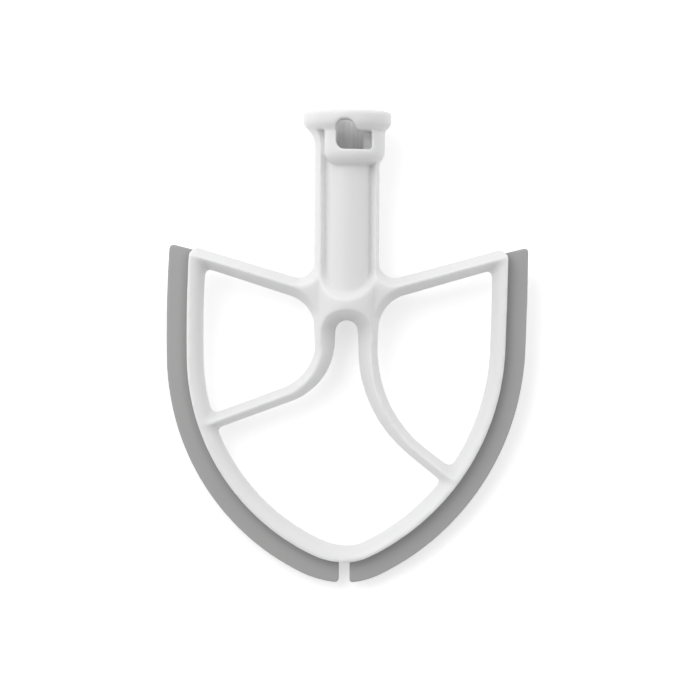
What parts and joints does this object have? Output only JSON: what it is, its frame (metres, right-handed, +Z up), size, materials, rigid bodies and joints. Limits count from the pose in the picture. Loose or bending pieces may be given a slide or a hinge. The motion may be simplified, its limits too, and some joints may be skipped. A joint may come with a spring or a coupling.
{
  "type": "stand mixer flat beater",
  "caption": "Flat beater for a stand mixer: a moulded frame with a bayonet shaft socket, curved legs in a pointed loop, and flexible scraping wings along the rim.",
  "frame": {"origin": "middle of the beater's bounding box, on the surface that it lies on", "axes": "+Z up, away from the surface; +Y along the hub toward the collar, in plan; +X to the right when the pin window faces up and the collar points away"},
  "size_m": [0.1478, 0.1936, 0.0361],
  "materials": {
    "frame_plastic": "smooth moulded white, satin",
    "wing_rubber": "soft matt grey elastomer"
  },
  "bodies": {
    "root": {"beater_frame": "frame_plastic", "left_wing": "wing_rubber", "right_wing": "wing_rubber"}
  },
  "joints": []
}
